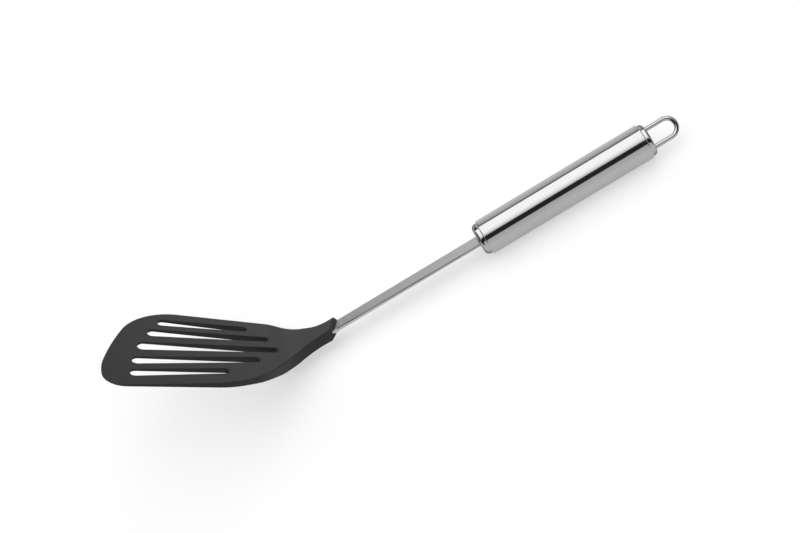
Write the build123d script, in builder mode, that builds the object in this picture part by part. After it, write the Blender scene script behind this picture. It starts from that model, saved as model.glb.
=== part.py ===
from build123d import *
from math import cos, radians, sin
import os

os.makedirs("parts", exist_ok=True)

# A slotted turner: a moulded head on a flat steel shank, held in a tubular handle with two
# caps and a hanging loop. The handle lies along X, its loop towards +X. The origin is on the
# handle's axis, in the middle of the grip. +Z is up from the surface that the turner lies on.

# Roll about the handle's axis, at which the head's far shoulder and the grip tube both touch
# the surface that the turner lies on
rest_roll = 26.67

# Grip tube
grip_radius = 11.0
grip_length = 108.0
tube_wall = 1.0
tube_edge_radius = 0.9

# Fits between the pieces, and the overrun of cuts
sliding_clearance = 0.1
overrun = 2.0

# Caps, two cups that close the tube's ends
cap_wall = 1.4
cap_skirt = 12.0
front_cap_proud = 3.8
front_cap_edge_radius = 3.0
rear_cap_proud = 3.0
rear_cap_edge_radius = 1.8

# Hanging loop, a bent round wire whose heads hold a plate behind the rear cap
wire_radius = 1.375
wire_head_radius = 2.0
wire_head_length = 1.2
loop_width = 14.2
loop_reach = 18.6
loop_turn = 60.0
plate_thickness = 2.0
plate_clearance = 0.5

# Shank, a flat bar that widens and thins towards the handle
shank_length = 98.1
shank_head_width = 8.6
shank_head_thickness = 2.4
shank_cap_width = 10.4
shank_cap_thickness = 1.5
shank_edge_inset = 0.35
shank_edge_drop = 0.6
root_length = 20.0
root_notch_length = 4.0
root_notch_depth = 1.2
tang_width = 8.0
tang_length = 40.0

# Core that carries the tang inside the tube, and reaches past the tang's end
core_reach = 1.8
core_land = 5.0
core_waist_depth = 2.2

# Head, bent up from its flat blade into the socket
bend = 38.0
bend_radius = 30.0
socket_reach = 27.2
socket_width = 12.8
socket_top = 3.8
socket_bottom = 3.7
mouth_slant = 21.0
mouth_top_bevel = 1.6
mouth_bottom_bevel = 3.6
mouth_far_bevel = 1.4
mouth_far_inset = 1.2
mouth_near_bevel = 2.0
mouth_near_inset = 1.7
mouth_land = 0.3
mouth_gap_width = 1.2
mouth_gap_height = 2.2
mouth_gap_depth = 3.5
heel_depth = 7.9
heel_radius = 18.0
knee_x = 30.0
knee_depth = 3.8
knee_radius = 60.0
tip_thickness = 0.5
rim_radius = 0.4

# Head outline, measured from the crease where the handle's axis meets the blade
blade_length = 109.3
near_tip_half = 41.4
near_tip_radius = 13.0
far_tip_x = 92.1
far_tip_half = 41.0
far_tip_radius = 30.0
leading_bulge = 3.2
leading_half = 14.2
leading_radius = 195.0
near_shoulder_x = 30.9
near_shoulder_half = 36.4
near_shoulder_radius = 50.0
far_shoulder_x = 13.5
far_shoulder_half = 28.5
far_shoulder_radius = 14.0
near_neck_x = 3.5
near_neck_half = 4.5
near_neck_radius = 30.0
far_neck_x = 12.2
far_neck_half = 4.3
far_neck_radius = 15.0

# Slots in the blade, from the far side to the near one: the places of both ends as shares of
# the blade's length and of its half width, and the radii there as shares of the largest
slot_radius = 4.0
tip_end_x_shares = (0.720, 0.771, 0.821, 0.853, 0.865)
tip_end_y_shares = (0.661, 0.373, 0.017, -0.358, -0.672)
tip_end_radius_shares = (0.79, 0.90, 1.00, 0.85, 0.76)
neck_end_x_shares = (0.283, 0.172, 0.130, 0.238, 0.408)
neck_end_y_shares = (0.531, 0.261, -0.027, -0.293, -0.595)
neck_end_radius_shares = (0.61, 0.61, 0.66, 0.68, 0.63)

# Places along the handle's axis, and radii inside the tube
grip_front_x = -grip_length / 2
grip_rear_x = grip_length / 2
front_face_x = grip_front_x - front_cap_proud
rear_face_x = grip_rear_x + rear_cap_proud
mouth_x = front_face_x - shank_length
crease_x = mouth_x - socket_reach
core_x = grip_front_x + cap_skirt
core_length = tang_length + core_reach - front_cap_proud - cap_skirt
plate_x = rear_face_x - cap_wall - plate_thickness
tube_bore_radius = grip_radius - tube_wall
cap_radius = tube_bore_radius - sliding_clearance
cap_bore_radius = cap_radius - cap_wall
wire_side = loop_width / 2 - wire_radius
cos_bend = cos(radians(bend))
sin_bend = sin(radians(bend))


def neck_point(along, above):
    """A point beside the handle's axis, in the blade's own x and z."""
    return (along * cos_bend - above * sin_bend, along * sin_bend + above * cos_bend)


# Directions: the handle's axis, and up from the flat of the shank, and to the far side
axis_way = Vector(1, 0, 0)
neck_up = Vector(0, sin(radians(rest_roll)), cos(radians(rest_roll)))
far_way = Vector(0, cos(radians(rest_roll)), -sin(radians(rest_roll)))
blade_rear = axis_way * cos_bend - neck_up * sin_bend
blade_up = axis_way * sin_bend + neck_up * cos_bend
loop_side = far_way * cos(radians(loop_turn)) + neck_up * sin(radians(loop_turn))
crease = (crease_x, 0, 0)
neck_plane = Plane(origin=crease, x_dir=axis_way, z_dir=neck_up)
blade_plane = Plane(origin=crease, x_dir=blade_rear, z_dir=blade_up)
side_plane = Plane(origin=crease, x_dir=blade_rear, z_dir=far_way * -1)
loop_plane = Plane(origin=(rear_face_x, 0, 0), x_dir=axis_way, z_dir=axis_way.cross(loop_side))


def across(x, side=far_way):
    """A plane square to the handle's axis at x, with its own x to one side."""
    return Plane(origin=(x, 0, 0), x_dir=side, z_dir=axis_way)


def round_corner(sketch, point, radius):
    """Round the corner of a sketch that lies nearest to a point."""
    fillet(sketch.vertices().sort_by_distance(point)[0], radius)


# Shank: the tapered bar, its notched root inside the head, and its tang inside the handle
with BuildPart() as shank:
    with BuildSketch(across(mouth_x)):
        Rectangle(shank_head_width, shank_head_thickness)
    with BuildSketch(across(front_face_x)):
        Rectangle(shank_cap_width, shank_cap_thickness)
    loft()
    for way in (neck_up, neck_up * -1):
        wide_face = shank.faces().sort_by(Axis(crease, way))[-1]
        long_edges = wide_face.edges().group_by(SortBy.LENGTH)[-1]
        chamfer(long_edges, shank_edge_inset, shank_edge_drop, reference=wide_face)
    with BuildSketch(across(mouth_x)):
        Rectangle(shank_head_width, shank_head_thickness)
    extrude(amount=-root_length)
    with BuildSketch(neck_plane):
        with Locations((socket_reach - root_length / 2, 0)):
            with GridLocations(0, shank_head_width, 1, 2):
                Rectangle(root_notch_length, root_notch_depth * 2)
    extrude(amount=shank_head_thickness, both=True, mode=Mode.SUBTRACT)
    with BuildSketch(across(front_face_x)):
        Rectangle(tang_width, shank_cap_thickness)
    extrude(amount=tang_length)
shank.part.label = "shank"
export_step(shank.part, "parts/shank.step")

# Head: the side profile drawn across the blade, cut to the outline seen from above. The neck
# is drawn past the mouth and cut there on the slant.
top_corner_x = -socket_top / sin_bend
heel_along = (socket_bottom * cos_bend - heel_depth) / sin_bend
span = blade_length * 2
leading_point = (-blade_length - leading_bulge, -leading_half)
neck_end = socket_reach + overrun * 2
top_inset = socket_top - shank_head_thickness / 2 - mouth_land
bottom_inset = socket_bottom - shank_head_thickness / 2 - mouth_land
mouth_bevels = (
    (neck_up, top_inset, mouth_top_bevel),
    (neck_up * -1, bottom_inset, mouth_bottom_bevel),
    (far_way * -1, mouth_near_inset, mouth_near_bevel),
    (far_way, mouth_far_inset, mouth_far_bevel),
)
with BuildPart() as turner_head:
    with BuildSketch(side_plane) as profile:
        with BuildLine():
            Polyline(
                (-span, 0),
                (top_corner_x, 0),
                neck_point(neck_end, socket_top),
                neck_point(neck_end, -socket_bottom),
                neck_point(heel_along, -socket_bottom),
                (-knee_x, -knee_depth),
                (-blade_length, -tip_thickness),
                (-span, -tip_thickness),
                close=True,
            )
        make_face()
        round_corner(profile, (top_corner_x, 0), bend_radius)
        round_corner(profile, neck_point(heel_along, -socket_bottom), heel_radius)
        round_corner(profile, (-knee_x, -knee_depth), knee_radius)
    extrude(amount=span, both=True)
    with BuildSketch(blade_plane) as outline:
        with BuildLine():
            leading = RadiusArc((-far_tip_x, far_tip_half), leading_point, -leading_radius)
            TangentArc(leading_point, (-blade_length, -near_tip_half), tangent=leading % 1)
            Polyline(
                (-blade_length, -near_tip_half),
                (-near_shoulder_x, -near_shoulder_half),
                (near_neck_x, -near_neck_half),
                (neck_end, -socket_width / 2),
                (neck_end, socket_width / 2),
                (far_neck_x, far_neck_half),
                (-far_shoulder_x, far_shoulder_half),
                (-far_tip_x, far_tip_half),
            )
        make_face()
        round_corner(outline, (-near_shoulder_x, -near_shoulder_half), near_shoulder_radius)
        round_corner(outline, (-far_shoulder_x, far_shoulder_half), far_shoulder_radius)
        round_corner(outline, (near_neck_x, -near_neck_half), near_neck_radius)
        round_corner(outline, (far_neck_x, far_neck_half), far_neck_radius)
        round_corner(outline, (-far_tip_x, far_tip_half), far_tip_radius)
        round_corner(outline, (-blade_length, -near_tip_half), near_tip_radius)
    extrude(amount=span, both=True, mode=Mode.INTERSECT)
    with BuildSketch(neck_plane):
        with Locations(Location((socket_reach, 0), -mouth_slant)):
            Rectangle(span, span, align=(Align.MIN, Align.CENTER))
    extrude(amount=span, both=True, mode=Mode.SUBTRACT)
    for way, inset, length in mouth_bevels:
        mouth = turner_head.faces().sort_by(Axis.X)[-1]
        edge = mouth.edges().sort_by(Axis(crease, way))[-1]
        chamfer(edge, inset, length, reference=mouth)
    add(shank.part, mode=Mode.SUBTRACT)
    with BuildSketch(across(mouth_x - mouth_gap_depth)):
        with Locations((-shank_head_width / 2, 0)):
            Rectangle(mouth_gap_width, mouth_gap_height, align=(Align.MAX, Align.CENTER))
    extrude(amount=span, mode=Mode.SUBTRACT)
    for i, side_share in enumerate(tip_end_y_shares):
        with BuildSketch(blade_plane):
            with Locations((-tip_end_x_shares[i] * blade_length, side_share * near_tip_half)):
                Circle(tip_end_radius_shares[i] * slot_radius)
            with Locations((-neck_end_x_shares[i] * blade_length, neck_end_y_shares[i] * near_tip_half)):
                Circle(neck_end_radius_shares[i] * slot_radius)
            make_hull()
    extrude(amount=span, both=True, mode=Mode.SUBTRACT)
    blade_top = turner_head.faces().filter_by(GeomType.PLANE).sort_by(SortBy.AREA)[-1]
    rims = blade_top.edges().filter_by(Axis(crease, far_way), reverse=True)
    fillet(rims, rim_radius)
turner_head.part.label = "turner_head"
export_step(turner_head.part, "parts/turner_head.step")

# Grip tube, with its ends rounded on the outside
with BuildPart() as handle_tube:
    with BuildSketch(across(grip_front_x)):
        Circle(grip_radius)
        Circle(tube_bore_radius, mode=Mode.SUBTRACT)
    extrude(amount=grip_length)
    rings = handle_tube.edges().filter_by(GeomType.CIRCLE)
    fillet(rings.group_by(SortBy.RADIUS)[-1], tube_edge_radius)
handle_tube.part.label = "handle_tube"
export_step(handle_tube.part, "parts/handle_tube.step")

# Front cap, a domed cup slotted for the tang
with BuildPart() as front_cap:
    with BuildSketch(across(front_face_x)):
        Circle(cap_radius)
    extrude(amount=front_cap_proud + cap_skirt)
    fillet(front_cap.edges().sort_by(Axis.X)[0], front_cap_edge_radius)
    offset(amount=-cap_wall, openings=front_cap.faces().sort_by(Axis.X)[-1])
    with BuildSketch(across(front_face_x)):
        Rectangle(tang_width + sliding_clearance * 2, shank_cap_thickness + sliding_clearance * 2)
    extrude(amount=cap_wall + overrun, mode=Mode.SUBTRACT)
front_cap.part.label = "front_cap"
export_step(front_cap.part, "parts/front_cap.step")

# Tang core, a waisted plug that carries the tang behind the front cap
with BuildPart() as tang_core:
    with BuildSketch(across(core_x)):
        Circle(cap_radius)
    extrude(amount=core_length)
    with BuildSketch(across(core_x + core_land)):
        Circle(grip_radius)
        Circle(cap_radius - core_waist_depth, mode=Mode.SUBTRACT)
    extrude(amount=core_length - core_land * 2, mode=Mode.SUBTRACT)
    with BuildSketch(across(core_x)):
        Rectangle(tang_width + sliding_clearance * 2, shank_cap_thickness + sliding_clearance * 2)
    extrude(amount=core_length, mode=Mode.SUBTRACT)
tang_core.part.label = "tang_core"
export_step(tang_core.part, "parts/tang_core.step")

# Rear cap, a cup with two holes for the loop's legs
with BuildPart() as rear_cap:
    with BuildSketch(across(rear_face_x)):
        Circle(cap_radius)
    extrude(amount=-rear_cap_proud - cap_skirt)
    fillet(rear_cap.edges().sort_by(Axis.X)[-1], rear_cap_edge_radius)
    offset(amount=-cap_wall, openings=rear_cap.faces().sort_by(Axis.X)[0])
    with BuildSketch(across(rear_face_x, loop_side)):
        with GridLocations(wire_side * 2, 0, 2, 1):
            Circle(wire_radius + sliding_clearance)
    extrude(amount=-cap_wall - overrun, mode=Mode.SUBTRACT)
rear_cap.part.label = "rear_cap"
export_step(rear_cap.part, "parts/rear_cap.step")

# Loop plate, a disc behind the rear cap's end wall
with BuildPart() as loop_plate:
    with BuildSketch(across(plate_x, loop_side)):
        Circle(cap_bore_radius - plate_clearance)
        with GridLocations(wire_side * 2, 0, 2, 1):
            Circle(wire_radius + sliding_clearance, mode=Mode.SUBTRACT)
    extrude(amount=plate_thickness)
loop_plate.part.label = "loop_plate"
export_step(loop_plate.part, "parts/loop_plate.step")

# Hanging loop, one bent wire with both legs headed over behind the plate
leg_end = plate_x - wire_head_length - rear_face_x
bend_start = loop_reach - wire_radius - wire_side
with BuildPart() as hanging_loop:
    with BuildLine(loop_plane) as wire:
        Line((leg_end, wire_side), (bend_start, wire_side))
        ThreePointArc((bend_start, wire_side), (bend_start + wire_side, 0), (bend_start, -wire_side))
        Line((bend_start, -wire_side), (leg_end, -wire_side))
    with BuildSketch(Plane(origin=wire.wire() @ 0, z_dir=wire.wire() % 0)):
        Circle(wire_radius)
    sweep(path=wire.wire())
    with BuildSketch(across(plate_x, loop_side)):
        with GridLocations(wire_side * 2, 0, 2, 1):
            Circle(wire_head_radius)
    extrude(amount=-wire_head_length)
hanging_loop.part.label = "hanging_loop"
export_step(hanging_loop.part, "parts/hanging_loop.step")
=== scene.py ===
"""Slotted turner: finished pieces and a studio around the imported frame."""

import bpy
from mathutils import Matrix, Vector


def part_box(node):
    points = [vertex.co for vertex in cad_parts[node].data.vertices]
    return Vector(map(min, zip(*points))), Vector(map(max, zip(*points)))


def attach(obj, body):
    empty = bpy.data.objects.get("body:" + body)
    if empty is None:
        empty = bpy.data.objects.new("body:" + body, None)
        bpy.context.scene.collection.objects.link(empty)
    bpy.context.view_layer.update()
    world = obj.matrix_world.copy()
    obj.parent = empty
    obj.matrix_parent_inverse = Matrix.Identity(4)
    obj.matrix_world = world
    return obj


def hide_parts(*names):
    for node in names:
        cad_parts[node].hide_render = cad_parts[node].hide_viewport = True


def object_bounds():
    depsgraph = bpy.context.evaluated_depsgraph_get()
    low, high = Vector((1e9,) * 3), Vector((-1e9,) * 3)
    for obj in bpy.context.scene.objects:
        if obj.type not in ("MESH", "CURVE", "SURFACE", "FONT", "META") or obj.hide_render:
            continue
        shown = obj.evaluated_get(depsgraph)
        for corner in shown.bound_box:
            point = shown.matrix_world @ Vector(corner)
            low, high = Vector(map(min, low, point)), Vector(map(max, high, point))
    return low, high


bl_info = {
    "name": "Slotted turner",
    "version": (1, 0, 0),
    "blender": (4, 5, 0),
    "location": "3D View > Sidebar > Turner",
    "description": "Builds the finished pieces of a slotted kitchen turner and its studio",
    "category": "Object",
}

from math import cos, hypot, pi, radians, sin

import bmesh
import bpy
from bpy.props import FloatProperty, FloatVectorProperty, IntProperty, PointerProperty
from mathutils import Matrix, Vector

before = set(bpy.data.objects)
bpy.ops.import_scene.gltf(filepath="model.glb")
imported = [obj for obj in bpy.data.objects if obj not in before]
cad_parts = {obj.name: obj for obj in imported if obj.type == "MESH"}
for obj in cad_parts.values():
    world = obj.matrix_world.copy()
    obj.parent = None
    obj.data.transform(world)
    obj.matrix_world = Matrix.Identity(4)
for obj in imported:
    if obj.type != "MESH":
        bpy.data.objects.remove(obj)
CAD_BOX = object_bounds()
HEAD_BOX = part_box("turner_head")
SHANK_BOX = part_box("shank")
CORE_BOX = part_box("tang_core")
TUBE_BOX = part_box("handle_tube")
FRONT_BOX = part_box("front_cap")
REAR_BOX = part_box("rear_cap")
PLATE_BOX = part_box("loop_plate")
LOOP_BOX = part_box("hanging_loop")

# The turner lies on its grip tube and on the far shoulder of its head, rolled about the
# handle's axis, which is the X axis.
REST_ROLL = radians(26.67)
AXIS = Vector((1, 0, 0))
NECK_UP = Vector((0, sin(REST_ROLL), cos(REST_ROLL)))
FAR_SIDE = Vector((0, cos(REST_ROLL), -sin(REST_ROLL)))

# Two places nearer than this are one place, and edges bent more than this are sharp.
SAME_PLACE = 1e-6
SHARP_ANGLE = radians(35)


class TurnerHandle(bpy.types.PropertyGroup):
    """Sizes of the handle's pieces."""

    tube_wall: FloatProperty(
        name="Tube wall", description="Thickness of the grip tube's wall",
        default=0.001, unit="LENGTH",
    )
    tube_edge_radius: FloatProperty(
        name="Tube edge radius", description="Rounding of the tube's two ends",
        default=0.0009, unit="LENGTH",
    )
    cap_wall: FloatProperty(
        name="Cap wall", description="Thickness of both caps",
        default=0.0014, unit="LENGTH",
    )
    front_edge_radius: FloatProperty(
        name="Front edge radius", description="Rounding of the front cap's dome",
        default=0.003, unit="LENGTH",
    )
    rear_edge_radius: FloatProperty(
        name="Rear edge radius", description="Rounding of the rear cap's edge",
        default=0.0018, unit="LENGTH",
    )
    edge_land: FloatProperty(
        name="Edge land", description="Flat strip kept beside each rounding",
        default=0.0003, unit="LENGTH",
    )
    slot_width: FloatProperty(
        name="Slot width", description="Width of the tang's slot in the front cap",
        default=0.0082, unit="LENGTH",
    )
    slot_height: FloatProperty(
        name="Slot height", description="Height of the tang's slot in the front cap",
        default=0.0017, unit="LENGTH",
    )
    leg_hole_radius: FloatProperty(
        name="Leg hole radius", description="Radius of the rear cap's holes for the loop's legs",
        default=0.001475, unit="LENGTH",
    )
    wire_radius: FloatProperty(
        name="Wire radius", description="Radius of the hanging loop's wire",
        default=0.001375, unit="LENGTH",
    )
    wire_head_radius: FloatProperty(
        name="Wire head radius", description="Radius of the heads on the loop's legs",
        default=0.002, unit="LENGTH",
    )
    leg_spacing: FloatProperty(
        name="Leg spacing", description="Distance between the middles of the loop's legs",
        default=0.01145, unit="LENGTH",
    )
    loop_turn: FloatProperty(
        name="Loop turn", description="Turn of the loop from the shank's flat",
        default=radians(60), subtype="ANGLE",
    )
    round_sides: IntProperty(
        name="Round sides", description="Faces around the tube and the caps",
        default=144, min=24,
    )
    wire_sides: IntProperty(
        name="Wire sides", description="Faces around the wire",
        default=40, min=12,
    )
    edge_steps: IntProperty(
        name="Edge steps", description="Faces across each rounded edge",
        default=8, min=2,
    )


class TurnerFinishes(bpy.types.PropertyGroup):
    """Colours and finishes of the turner's pieces."""

    nylon_colour: FloatVectorProperty(
        name="Nylon colour", description="Charcoal of the moulded head",
        subtype="COLOR", size=3, min=0, max=1, default=(0.028, 0.028, 0.029),
    )
    # Painted sheen: the head's colour is darker at the tip and lighter towards the neck.
    nylon_painted_sheen: FloatVectorProperty(
        name="Nylon tones", description="Shares of the nylon's colour at the head's tip and at its neck",
        size=2, min=0, default=(0.72, 1.3),
    )
    nylon_roughness: FloatProperty(
        name="Nylon roughness", description="Roughness of the fine matte mould finish",
        min=0, max=1, default=0.37,
    )
    nylon_shine: FloatProperty(
        name="Nylon shine", description="Strength of the nylon's reflection",
        min=0, max=1, default=0.20,
    )
    steel_colour: FloatVectorProperty(
        name="Steel colour", description="Colour of the polished stainless steel",
        subtype="COLOR", size=3, min=0, max=1, default=(0.432, 0.432, 0.430),
    )
    rolled_colour: FloatVectorProperty(
        name="Rolled steel colour", description="Colour of the rolled shank",
        subtype="COLOR", size=3, min=0, max=1, default=(0.50, 0.497, 0.485),
    )
    satin_roughness: FloatProperty(
        name="Satin roughness", description="Roughness of the satin grip tube",
        min=0, max=1, default=0.10,
    )
    shank_roughness: FloatProperty(
        name="Shank roughness", description="Roughness of the rolled shank",
        min=0, max=1, default=0.30,
    )
    polish_roughness: FloatProperty(
        name="Polish roughness", description="Roughness of the polished caps and loop",
        min=0, max=1, default=0.06,
    )
    polish_edge: FloatProperty(
        name="Polish edge", description="Brightness of the polished pieces' outlines",
        min=0, max=1, default=0.22,
    )
    plug_colour: FloatVectorProperty(
        name="Plug colour", description="Colour of the plug inside the tube",
        subtype="COLOR", size=3, min=0, max=1, default=(0.62, 0.62, 0.60),
    )
    plug_tones: FloatVectorProperty(
        name="Plug tones", description="Shares of the plug's colour at its two ends",
        size=2, min=0, default=(0.95, 1.05),
    )


class TurnerStudio(bpy.types.PropertyGroup):
    """Camera, light and floor."""

    lens: FloatProperty(
        name="Lens", description="Focal length of the camera",
        default=54.0, unit="CAMERA",
    )
    sensor_width: FloatProperty(
        name="Sensor width", description="Width of the camera's sensor",
        default=36.0, unit="CAMERA",
    )
    nearest_seen: FloatProperty(
        name="Nearest seen", description="Distance at which the camera begins to see",
        default=0.01, unit="LENGTH",
    )
    grip_depth: FloatProperty(
        name="Grip depth", description="How far along the view the middle of the grip lies",
        default=0.6984, unit="LENGTH",
    )
    grip_right: FloatProperty(
        name="Grip right", description="How far right of the view's middle the grip lies",
        default=0.0954, unit="LENGTH",
    )
    grip_above: FloatProperty(
        name="Grip above", description="How far above the view's middle the grip lies",
        default=0.0446, unit="LENGTH",
    )
    view_roll: FloatProperty(
        name="View roll", description="Turn about the handle from the shank's flat to the camera",
        default=radians(60), subtype="ANGLE",
    )
    view_tilt: FloatProperty(
        name="View tilt", description="Tilt of the handle's rear end towards the camera",
        default=radians(5.2), subtype="ANGLE",
    )
    picture_turn: FloatProperty(
        name="Picture turn", description="Angle of the handle above the picture's width",
        default=radians(31.05), subtype="ANGLE",
    )
    floor_colour: FloatVectorProperty(
        name="Floor colour", description="Colour of the pale floor",
        subtype="COLOR", size=3, min=0, max=1, default=(0.45, 0.45, 0.45),
    )
    floor_roughness: FloatProperty(
        name="Floor roughness", description="Roughness of the floor",
        min=0, max=1, default=0.9,
    )
    floor_glow: FloatProperty(
        name="Floor glow", description="Light that the camera sees in the floor beside its colour",
        min=0, default=0.56,
    )
    floor_echo: FloatProperty(
        name="Floor echo", description="Share of the floor's glow that reflections see",
        min=0, max=1, default=0.92,
    )
    floor_size: FloatProperty(
        name="Floor size", description="Width of the floor",
        default=12.0, unit="LENGTH",
    )
    light_level: FloatProperty(
        name="Light level", description="Strength of the studio light",
        min=0, default=1.06,
    )
    far_middle: FloatProperty(
        name="Far middle", description="Where along the handle the far wall is brightest",
        min=-1, max=1, default=0.06,
    )
    far_dim: FloatProperty(
        name="Far dimming", description="Share of the far wall's light left beside its middle",
        min=0, max=1, default=0.12,
    )
    side_panel: FloatProperty(
        name="Side panel", description="Light of the panel beside the far wall, towards the loop",
        min=0, default=2.4,
    )
    end_dim: FloatProperty(
        name="End dimming", description="Share of the walls' light left at the tent's open ends",
        min=0, max=1, default=0.12,
    )
    box_reach: FloatProperty(
        name="Softbox reach", description="How far along the handle the overhead softbox reaches",
        min=0, max=1, default=0.60,
    )
    box_edge: FloatProperty(
        name="Softbox edge", description="How softly the overhead softbox ends",
        min=0.01, max=1, default=0.16,
    )


# Noise seldom leaves this range.
NOISE_RANGE = (0.3, 0.7)

# Steel: how closely its finishing marks lie along X, Y and Z, with their depth, and how far
# its colour and roughness stray, as shares.
SATIN_MARKS = (14, 1500, 1500), 0.000003
POLISH_MARKS = (900, 500, 500), 0.000002
ROLLED_MARKS = (40, 2400, 2400), 0.000006
MARKS_STRENGTH = 0.25
SMUDGE_SCALE = 55.0
STEEL_TONE_STRAY = 0.05
STEEL_ROUGHNESS_STRAY = 0.3

# Nylon: the scales of its grain and its mottling, the grain's depth and strength, the mottling's
# share of the tone, and how far its roughness strays.
GRAIN_SCALE = 2600.0
GRAIN_DEPTH = 0.00003
GRAIN_STRENGTH = 0.35
MOTTLE_SCALE = 38.0
MOTTLE_SHARE = 0.25
NYLON_ROUGHNESS_STRAY = 0.04

# Places along the handle, as the X of a direction, between which the tent's light changes:
# beside the far wall's middle, into the side panel, and into the tent's open ends.
FAR_WALL_FALL = (0.07, 0.28)
SIDE_PANEL_RISE = (0.42, 0.56)
OPEN_END_FALL = (0.66, 0.82)

# Brightness of the light tent at a lean from straight up, in degrees towards the far side:
# its walls, its far wall, which is dimmer to both sides, and the softbox over the handle.
HALF_TURN = 180
TENT_WALLS = (
    (-90, 0.88),
    (-80, 0.85),
    (-66, 0.78),
    (-56.5, 0.74),
    (-54.5, 0.03),
    (-25.8, 0.03),
    (-24.8, 0.75),
    (-12, 0.86),
    (45.0, 0.90),
    (45.8, 0.02),
    (90, 0.02),
)
TENT_FAR_WALL = (
    (48.5, 0),
    (52, 0.25),
    (57, 0.49),
    (63, 0.67),
    (70, 0.77),
    (78, 0.87),
    (90, 0.93),
)
TENT_SOFTBOX = (
    (-25.8, 0),
    (-24.8, 0.30),
    (-20, 0.42),
    (-13.7, 0.66),
    (-7.5, 0.90),
    (-1, 1.03),
    (8, 1.09),
    (45.0, 1.09),
    (45.8, 0),
)


def add_node(tree, kind, **settings):
    """Add a node of a kind, with its settings."""
    node = tree.nodes.new(kind)
    for name, value in settings.items():
        setattr(node, name, value)
    return node


def calculate(tree, operation, *values):
    """Add a maths node with its operation, and give its result."""
    node = add_node(tree, "ShaderNodeMath", operation=operation)
    for socket, value in zip(node.inputs, values):
        if isinstance(value, bpy.types.NodeSocket):
            tree.links.new(value, socket)
        else:
            socket.default_value = value
    return node.outputs[0]


def spread(tree, value, low, high, start=0.0, end=1.0, way="LINEAR"):
    """Spread a value that runs from start to end over low to high."""
    node = add_node(tree, "ShaderNodeMapRange", interpolation_type=way)
    tree.links.new(value, node.inputs["Value"])
    node.inputs["From Min"].default_value = start
    node.inputs["From Max"].default_value = end
    node.inputs["To Min"].default_value = low
    node.inputs["To Max"].default_value = high
    return node.outputs["Result"]


def noise(tree, scale, stretch=(1, 1, 1), detail=3.0):
    """Noise over the object's own coordinates, stretched along its axes."""
    place = add_node(tree, "ShaderNodeTexCoord")
    mapping = add_node(tree, "ShaderNodeMapping")
    texture = add_node(tree, "ShaderNodeTexNoise")
    mapping.inputs["Scale"].default_value = stretch
    texture.inputs["Scale"].default_value = scale
    texture.inputs["Detail"].default_value = detail
    tree.links.new(place.outputs["Object"], mapping.inputs["Vector"])
    tree.links.new(mapping.outputs["Vector"], texture.inputs["Vector"])
    return texture.outputs["Fac"]


def axes(tree, coordinates):
    """The X, Y and Z of a place or a direction."""
    place = add_node(tree, "ShaderNodeTexCoord")
    parts = add_node(tree, "ShaderNodeSeparateXYZ")
    tree.links.new(place.outputs[coordinates], parts.inputs["Vector"])
    return parts.outputs


def tint(tree, shader, share, dark, light):
    """Colour a shader between a dark and a light tone by a share."""
    mix = add_node(tree, "ShaderNodeMix", data_type="RGBA")
    mix.inputs[6].default_value = (*dark, 1)
    mix.inputs[7].default_value = (*light, 1)
    tree.links.new(share, mix.inputs[0])
    tree.links.new(mix.outputs[2], shader.inputs["Base Color"])


def relief(tree, shader, height, strength, depth):
    """Give a shader's surface a fine relief."""
    bump = add_node(tree, "ShaderNodeBump")
    bump.inputs["Strength"].default_value = strength
    bump.inputs["Distance"].default_value = depth
    tree.links.new(height, bump.inputs["Height"])
    tree.links.new(bump.outputs["Normal"], shader.inputs["Normal"])


def toned(colour, share):
    """A colour made darker or lighter by a share."""
    return [part * share for part in colour]


def new_material(name):
    """Make a node material, and give it with its nodes and its shader."""
    material = bpy.data.materials.new(name)
    material.use_nodes = True
    return material, material.node_tree, material.node_tree.nodes["Principled BSDF"]


def steel_material(name, colour, roughness, finishing, edge_tint=1.0):
    """Stainless steel with fine marks of its finishing, and faint smudges."""
    material, tree, shader = new_material(name)
    shader.inputs["Metallic"].default_value = 1.0
    shader.inputs["Specular Tint"].default_value = (edge_tint, edge_tint, edge_tint, 1)
    stretch, depth = finishing
    marks = noise(tree, 1.0, stretch, detail=4.0)
    smudges = noise(tree, SMUDGE_SCALE, detail=2.0)
    uneven = calculate(tree, "ADD", spread(tree, marks, 0, 0.5), spread(tree, smudges, 0, 0.5))
    dark, light = toned(colour, 1 - STEEL_TONE_STRAY), toned(colour, 1 + STEEL_TONE_STRAY)
    tint(tree, shader, uneven, dark, light)
    smooth, rough = roughness * (1 - STEEL_ROUGHNESS_STRAY), roughness * (1 + STEEL_ROUGHNESS_STRAY)
    tree.links.new(spread(tree, uneven, smooth, rough, *NOISE_RANGE), shader.inputs["Roughness"])
    relief(tree, shader, marks, MARKS_STRENGTH, depth)
    return material


def nylon_material(name, colour, roughness, shine, ends, tones_and_painted_sheen):
    """Moulded nylon with a fine grain, mottled, its tone changing between two ends along X; on the head
    that change is painted sheen, darker at the tip and lighter at the neck.
    """
    material, tree, shader = new_material(name)
    shader.inputs["Specular IOR Level"].default_value = shine
    grain = noise(tree, GRAIN_SCALE, detail=2.0)
    mottle = noise(tree, MOTTLE_SCALE, detail=3.0)
    # Tone along X; on the head this is painted sheen, darker at the tip and lighter at the neck.
    along = spread(tree, axes(tree, "Object")["X"], 0, 1 - MOTTLE_SHARE, *ends)
    mottling = spread(tree, mottle, 0, MOTTLE_SHARE, *NOISE_RANGE)
    share = calculate(tree, "ADD", along, mottling)
    tint(tree, shader, share, toned(colour, tones_and_painted_sheen[0]), toned(colour, tones_and_painted_sheen[1]))
    smooth, rough = roughness - NYLON_ROUGHNESS_STRAY, roughness + NYLON_ROUGHNESS_STRAY
    tree.links.new(spread(tree, mottle, smooth, rough, *NOISE_RANGE), shader.inputs["Roughness"])
    relief(tree, shader, grain, GRAIN_STRENGTH, GRAIN_DEPTH)
    return material


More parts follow.
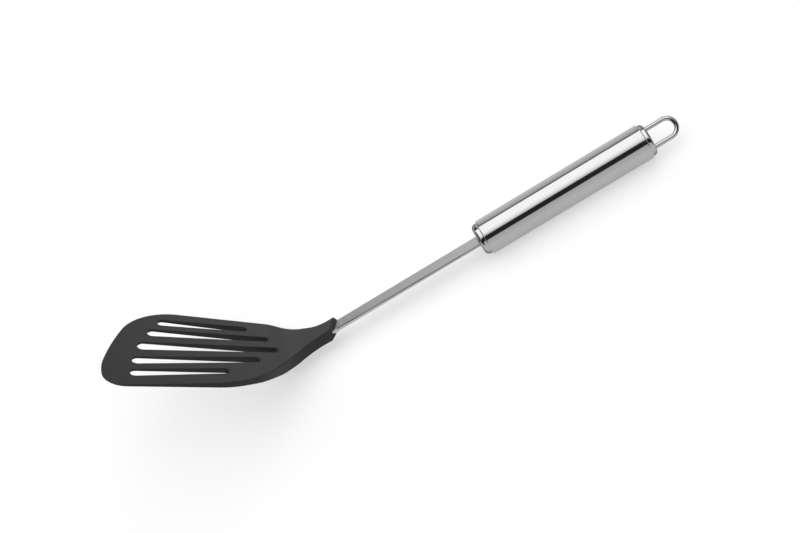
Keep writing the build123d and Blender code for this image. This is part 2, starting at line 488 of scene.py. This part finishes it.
def polished_steel(f):
    """The polished steel of the caps and the loop."""
    name = "polished_cap_steel"
    if name in bpy.data.materials:
        return bpy.data.materials[name]
    return steel_material(name, f.steel_colour, f.polish_roughness, POLISH_MARKS, f.polish_edge)


def dress(node, material):
    """Give a node of the frame a material."""
    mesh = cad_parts[node].data
    mesh.materials.clear()
    mesh.materials.append(material)


def edges_of(verts):
    """The edges that meet vertices, each once and in order."""
    return list(dict.fromkeys(edge for vert in verts for edge in vert.link_edges))


def verts_of(edges):
    """The vertices of edges, each once and in order."""
    return list(dict.fromkeys(vert for edge in edges for vert in edge.verts))


def turn_round(bm, profile, sides):
    """Turn a line of points, each a place along the handle and a radius, round the handle."""
    verts = [bm.verts.new((x, radius, 0)) for x, radius in profile]
    edges = [bm.edges.new(pair) for pair in zip(verts, verts[1:])]
    bmesh.ops.spin(
        bm, geom=verts + edges, cent=(0, 0, 0), axis=AXIS, angle=2 * pi, steps=sides, use_merge=True,
    )
    bmesh.ops.remove_doubles(bm, verts=bm.verts, dist=SAME_PLACE)


def ring(bm, x, radius):
    """The edges that lie on a ring round the handle."""
    def on_ring(vert):
        away = hypot(vert.co.y, vert.co.z) - radius
        return abs(vert.co.x - x) < SAME_PLACE and abs(away) < SAME_PLACE
    return [edge for edge in bm.edges if on_ring(edge.verts[0]) and on_ring(edge.verts[1])]


def round_ring(bm, x, radius, size, steps):
    """Round the corner at a ring."""
    bmesh.ops.bevel(
        bm, geom=ring(bm, x, radius), offset=size, offset_type="OFFSET", segments=steps,
        profile=0.5, affect="EDGES", material=-1,
    )


def cut_across(bm, x):
    """Add a ring of edges at a place along the handle."""
    everything = bm.verts[:] + bm.edges[:] + bm.faces[:]
    bmesh.ops.bisect_plane(bm, geom=everything, dist=SAME_PLACE, plane_co=(x, 0, 0), plane_no=AXIS)


def new_piece(bm, node, material):
    """Make a piece that stands for a node of the frame."""
    bmesh.ops.recalc_face_normals(bm, faces=bm.faces)
    for face in bm.faces:
        face.smooth = True
    for edge in bm.edges:
        edge.smooth = edge.calc_face_angle(0) < SHARP_ANGLE
    mesh = bpy.data.meshes.new(node + "_finished")
    bm.to_mesh(mesh)
    bm.free()
    mesh.materials.append(material)
    piece = bpy.data.objects.new(node + "_finished", mesh)
    bpy.context.scene.collection.objects.link(piece)
    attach(piece, "root")
    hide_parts(node)


class TURNER_OT_grip_tube(bpy.types.Operator):
    """Build the grip tube"""

    bl_idname = "turner.grip_tube"
    bl_label = "Build grip tube"

    def execute(self, context):
        h = context.scene.turner_handle
        f = context.scene.turner_finishes
        front, rear, radius = TUBE_BOX[0][0], TUBE_BOX[1][0], TUBE_BOX[1][1]
        bore = radius - h.tube_wall
        bm = bmesh.new()
        profile = ((front, bore), (front, radius), (rear, radius), (rear, bore), (front, bore))
        turn_round(bm, profile, h.round_sides)
        round_ring(bm, front, radius, h.tube_edge_radius, h.edge_steps)
        round_ring(bm, rear, radius, h.tube_edge_radius, h.edge_steps)
        inset = h.tube_edge_radius + h.edge_land
        cut_across(bm, front + inset)
        cut_across(bm, rear - inset)
        satin = steel_material("satin_tube_steel", f.steel_colour, f.satin_roughness, SATIN_MARKS)
        new_piece(bm, "handle_tube", satin)
        return {"FINISHED"}


class TURNER_OT_caps(bpy.types.Operator):
    """Build the front cap with its slot and the rear cap with its two holes"""

    bl_idname = "turner.caps"
    bl_label = "Build caps"

    def execute(self, context):
        h = context.scene.turner_handle
        polished = polished_steel(context.scene.turner_finishes)
        bm = bmesh.new()
        slot = self.slot(bm, h, FRONT_BOX[0][0])
        self.cup(bm, h, FRONT_BOX[0][0], FRONT_BOX[1][0], h.front_edge_radius, slot)
        new_piece(bm, "front_cap", polished)
        bm = bmesh.new()
        holes = self.leg_holes(bm, h, REAR_BOX[1][0])
        self.cup(bm, h, REAR_BOX[1][0], REAR_BOX[0][0], h.rear_edge_radius, holes)
        new_piece(bm, "rear_cap", polished)
        return {"FINISHED"}

    def slot(self, bm, h, x):
        """The outline of the tang's slot in a cap's face."""
        verts = []
        for wide, high in ((1, 1), (-1, 1), (-1, -1), (1, -1)):
            place = FAR_SIDE * wide * h.slot_width / 2 + NECK_UP * high * h.slot_height / 2
            verts.append(bm.verts.new(place + AXIS * x))
        return [bm.edges.new((verts[i - 1], verts[i])) for i in range(4)]

    def leg_holes(self, bm, h, x):
        """The outlines of the two holes for the loop's legs in a cap's face."""
        side = loop_side(h)
        edges = []
        for way in (-1, 1):
            place = Matrix.Translation(AXIS * x + side * way * h.leg_spacing / 2)
            place @= Matrix.Rotation(pi / 2, 4, "Y")
            made = bmesh.ops.create_circle(
                bm, segments=h.wire_sides, radius=h.leg_hole_radius, matrix=place,
            )
            edges += edges_of(made["verts"])
        return edges

    def cup(self, bm, h, face, rim, edge_radius, openings):
        """A cup with its face at one place and its rim at another, and openings in its face."""
        inward = 1 if rim > face else -1
        radius = FRONT_BOX[1][1]
        bore = radius - h.cap_wall
        inner_face = face + inward * h.cap_wall
        inner_edge = edge_radius - h.cap_wall
        flat = radius - edge_radius - h.edge_land
        inner_flat = bore - max(inner_edge, 0) - h.edge_land
        profile = (
            (face, flat), (face, radius), (rim, radius),
            (rim, bore), (inner_face, bore), (inner_face, inner_flat),
        )
        walls = bmesh.ops.extrude_edge_only(bm, edges=openings)["geom"]
        inner_verts = [part for part in walls if isinstance(part, bmesh.types.BMVert)]
        bmesh.ops.translate(bm, verts=inner_verts, vec=AXIS * inward * h.cap_wall)
        wall_edges = [part for part in walls if isinstance(part, bmesh.types.BMEdge)]
        inner_openings = [edge for edge in wall_edges if all(vert in inner_verts for vert in edge.verts)]
        turn_round(bm, profile, h.round_sides)
        round_ring(bm, face, radius, edge_radius, h.edge_steps)
        if inner_edge > 0:
            round_ring(bm, inner_face, bore, inner_edge, h.edge_steps)
        cut_across(bm, face + inward * (edge_radius + h.edge_land))
        for x, border, edges in ((face, flat, openings), (inner_face, inner_flat, inner_openings)):
            bmesh.ops.triangle_fill(
                bm, use_beauty=True, use_dissolve=False, edges=ring(bm, x, border) + edges, normal=AXIS,
            )


class TURNER_OT_hanging_loop(bpy.types.Operator):
    """Build the hanging loop, one bent wire with a head on each leg"""

    bl_idname = "turner.hanging_loop"
    bl_label = "Build hanging loop"

    def execute(self, context):
        h = context.scene.turner_handle
        polished = polished_steel(context.scene.turner_finishes)
        side = loop_side(h)
        plate = PLATE_BOX[0][0]
        head = LOOP_BOX[0][0]
        bend = LOOP_BOX[1][0] - h.wire_radius - h.leg_spacing / 2
        bm = bmesh.new()
        place = Matrix.Translation(AXIS * plate + side * h.leg_spacing / 2)
        place @= Matrix.Rotation(pi / 2, 4, "Y")
        first = bmesh.ops.create_circle(
            bm, segments=h.wire_sides, radius=h.wire_radius, matrix=place,
        )["verts"]
        foot = edges_of(first)
        edges = self.draw_out(bm, foot, AXIS * (bend - plate))
        turned = bmesh.ops.spin(
            bm, geom=verts_of(edges) + edges, cent=AXIS * bend, axis=side.cross(AXIS), angle=pi,
            steps=h.wire_sides,
        )["geom_last"]
        edges = [part for part in turned if isinstance(part, bmesh.types.BMEdge)]
        last = self.draw_out(bm, edges, AXIS * (plate - bend))
        for edges, way in ((foot, 1), (last, -1)):
            middle = AXIS * plate + side * way * h.leg_spacing / 2
            wide = self.draw_out(bm, edges, Vector())
            grown = h.wire_head_radius / h.wire_radius
            bmesh.ops.scale(
                bm, verts=verts_of(wide), vec=(1, grown, grown), space=Matrix.Translation(-middle),
            )
            end = self.draw_out(bm, wide, AXIS * (head - plate))
            bmesh.ops.edgeloop_fill(bm, edges=end)
        new_piece(bm, "hanging_loop", polished)
        return {"FINISHED"}

    def draw_out(self, bm, edges, way):
        """Draw a ring of edges out along a way, and give its new ring."""
        made = bmesh.ops.extrude_edge_only(bm, edges=edges)["geom"]
        verts = [part for part in made if isinstance(part, bmesh.types.BMVert)]
        bmesh.ops.translate(bm, verts=verts, vec=way)
        edges = [part for part in made if isinstance(part, bmesh.types.BMEdge)]
        return [edge for edge in edges if edge.verts[0] in verts and edge.verts[1] in verts]


def loop_side(h):
    """The way from the handle's axis to the loop's far leg."""
    return FAR_SIDE * cos(h.loop_turn) + NECK_UP * sin(h.loop_turn)


class TURNER_OT_finish_nodes(bpy.types.Operator):
    """Give the frame's own nodes their finish"""

    bl_idname = "turner.finish_nodes"
    bl_label = "Finish frame nodes"

    def execute(self, context):
        f = context.scene.turner_finishes
        rolled = steel_material("rolled_shank_steel", f.rolled_colour, f.shank_roughness, ROLLED_MARKS)
        dress("shank", rolled)
        dress("loop_plate", rolled)
        # The head's colour carries a painted sheen, darker at the tip and lighter at the neck.
        matte = nylon_material(
            "matte_nylon", f.nylon_colour, f.nylon_roughness, f.nylon_shine,
            (HEAD_BOX[0][0], SHANK_BOX[0][0]), f.nylon_painted_sheen,
        )
        dress("turner_head", matte)
        plug = nylon_material(
            "plug_nylon", f.plug_colour, f.nylon_roughness, f.nylon_shine,
            (CORE_BOX[0][0], CORE_BOX[1][0]), f.plug_tones,
        )
        dress("tang_core", plug)
        return {"FINISHED"}


class TURNER_OT_studio(bpy.types.Operator):
    """Set up the camera, the light and the pale floor"""

    bl_idname = "turner.studio"
    bl_label = "Set up studio"

    def execute(self, context):
        s = context.scene.turner_studio
        self.place_camera(context, s)
        self.light_world(context, s)
        self.lay_floor(context, s)
        context.scene.view_settings.view_transform = "Standard"
        return {"FINISHED"}

    def place_camera(self, context, s):
        """Place the camera by the angles at which it sees the handle."""
        square = cos(s.view_roll) * NECK_UP - sin(s.view_roll) * FAR_SIDE
        across = -sin(s.view_roll) * NECK_UP - cos(s.view_roll) * FAR_SIDE
        back = cos(s.view_tilt) * square + sin(s.view_tilt) * AXIS
        along = cos(s.view_tilt) * AXIS - sin(s.view_tilt) * square
        right = cos(s.picture_turn) * along + sin(s.picture_turn) * across
        up = sin(s.picture_turn) * along - cos(s.picture_turn) * across
        place = s.grip_depth * back - s.grip_right * right - s.grip_above * up
        data = bpy.data.cameras.new("camera")
        data.lens = s.lens
        data.sensor_width = s.sensor_width
        data.clip_start = s.nearest_seen
        camera = bpy.data.objects.new("camera", data)
        turn = Matrix((right, up, back)).transposed()
        camera.matrix_world = Matrix.Translation(place) @ turn.to_4x4()
        context.scene.collection.objects.link(camera)
        context.scene.camera = camera

    def light_world(self, context, s):
        """Light the turner from a tent whose walls and softbox run along the handle."""
        world = bpy.data.worlds.new("studio_tent")
        world.use_nodes = True
        context.scene.world = world
        tree = world.node_tree
        way = axes(tree, "Generated")
        lean = calculate(tree, "ARCSINE", way["Y"])
        share = spread(tree, lean, 0, 1, -pi / 2, pi / 2)
        walls = self.panels(tree, share, TENT_WALLS)
        softbox = self.panels(tree, share, TENT_SOFTBOX)
        far_wall = self.panels(tree, share, TENT_FAR_WALL)
        aside = calculate(tree, "ABSOLUTE", calculate(tree, "SUBTRACT", way["X"], s.far_middle))
        dimmer = spread(tree, aside, 1, s.far_dim, *FAR_WALL_FALL)
        panel = spread(tree, way["X"], 0, s.side_panel, *SIDE_PANEL_RISE)
        dimmer = calculate(tree, "ADD", dimmer, panel)
        walls = calculate(tree, "ADD", walls, calculate(tree, "MULTIPLY", far_wall, dimmer))
        along = calculate(tree, "ABSOLUTE", way["X"])
        ends = spread(tree, along, 1, s.end_dim, *OPEN_END_FALL, "SMOOTHSTEP")
        walls = calculate(tree, "MULTIPLY", walls, ends)
        near, far = s.box_reach - s.box_edge / 2, s.box_reach + s.box_edge / 2
        reach = spread(tree, along, 1, 0, near, far, "SMOOTHSTEP")
        bright = calculate(tree, "ADD", walls, calculate(tree, "MULTIPLY", softbox, reach))
        level = calculate(tree, "MULTIPLY", bright, s.light_level)
        path = add_node(tree, "ShaderNodeLightPath")
        level = calculate(tree, "MAXIMUM", level, path.outputs["Is Camera Ray"])
        background = tree.nodes["Background"]
        background.inputs["Color"].default_value = (1, 1, 1, 1)
        tree.links.new(level, background.inputs["Strength"])

    def panels(self, tree, share, stops):
        """Brightness of the tent by the lean of a direction, straight between its stops."""
        highest = max(bright for lean, bright in stops)
        node = add_node(tree, "ShaderNodeValToRGB")
        tree.links.new(share, node.inputs["Fac"])
        ramp = node.color_ramp.elements
        ramp.remove(ramp[1])
        for lean, bright in stops:
            level = bright / highest
            position = lean / HALF_TURN + 0.5
            stop = ramp[0] if lean == stops[0][0] else ramp.new(position)
            stop.position = position
            stop.color = (level, level, level, 1)
        return calculate(tree, "MULTIPLY", node.outputs["Color"], highest)

    def lay_floor(self, context, s):
        """Lay the floor under the grip tube."""
        low = CAD_BOX[0][2]
        bm = bmesh.new()
        bmesh.ops.create_grid(bm, x_segments=1, y_segments=1, size=s.floor_size / 2)
        bmesh.ops.translate(bm, verts=bm.verts, vec=(0, 0, low))
        mesh = bpy.data.meshes.new("floor")
        bm.to_mesh(mesh)
        bm.free()
        floor = bpy.data.objects.new("floor", mesh)
        context.scene.collection.objects.link(floor)
        material, tree, shader = new_material("pale_floor")
        shader.inputs["Base Color"].default_value = (*s.floor_colour, 1)
        shader.inputs["Roughness"].default_value = s.floor_roughness
        shader.inputs["Specular IOR Level"].default_value = 0.0
        shader.inputs["Emission Color"].default_value = (1, 1, 1, 1)
        path = add_node(tree, "ShaderNodeLightPath")
        seen = calculate(tree, "MULTIPLY", path.outputs["Is Glossy Ray"], s.floor_echo)
        seen = calculate(tree, "MAXIMUM", seen, path.outputs["Is Camera Ray"])
        seen = calculate(tree, "MAXIMUM", seen, path.outputs["Is Transmission Ray"])
        glow = calculate(tree, "MULTIPLY", seen, s.floor_glow)
        tree.links.new(glow, shader.inputs["Emission Strength"])
        mesh.materials.append(material)


class TURNER_PT_sidebar(bpy.types.Panel):
    """The turner's sizes, finishes and builders"""

    bl_idname = "TURNER_PT_sidebar"
    bl_label = "Slotted turner"
    bl_space_type = "VIEW_3D"
    bl_region_type = "UI"
    bl_category = "Turner"

    def draw(self, context):
        for name in SETTINGS:
            group = getattr(context.scene, name)
            for prop in group.bl_rna.properties:
                if prop.identifier not in ("rna_type", "name"):
                    self.layout.prop(group, prop.identifier)
        for operator in OPERATORS:
            self.layout.operator(operator.bl_idname)


SETTINGS = {
    "turner_handle": TurnerHandle,
    "turner_finishes": TurnerFinishes,
    "turner_studio": TurnerStudio,
}
OPERATORS = (
    TURNER_OT_studio,
    TURNER_OT_finish_nodes,
    TURNER_OT_grip_tube,
    TURNER_OT_caps,
    TURNER_OT_hanging_loop,
)


def register():
    """Add the turner's settings, builders and panel to Blender."""
    for name, group in SETTINGS.items():
        bpy.utils.register_class(group)
        setattr(bpy.types.Scene, name, PointerProperty(type=group))
    for operator in OPERATORS:
        bpy.utils.register_class(operator)
    bpy.utils.register_class(TURNER_PT_sidebar)


def unregister():
    """Take the turner's settings, builders and panel out of Blender."""
    bpy.utils.unregister_class(TURNER_PT_sidebar)
    for operator in reversed(OPERATORS):
        bpy.utils.unregister_class(operator)
    for name, group in SETTINGS.items():
        delattr(bpy.types.Scene, name)
        bpy.utils.unregister_class(group)


def main():
    """Build everything."""
    register()
    bpy.ops.turner.studio()
    bpy.ops.turner.finish_nodes()
    bpy.ops.turner.grip_tube()
    bpy.ops.turner.caps()
    bpy.ops.turner.hanging_loop()


if __name__ == "__main__":
    main()
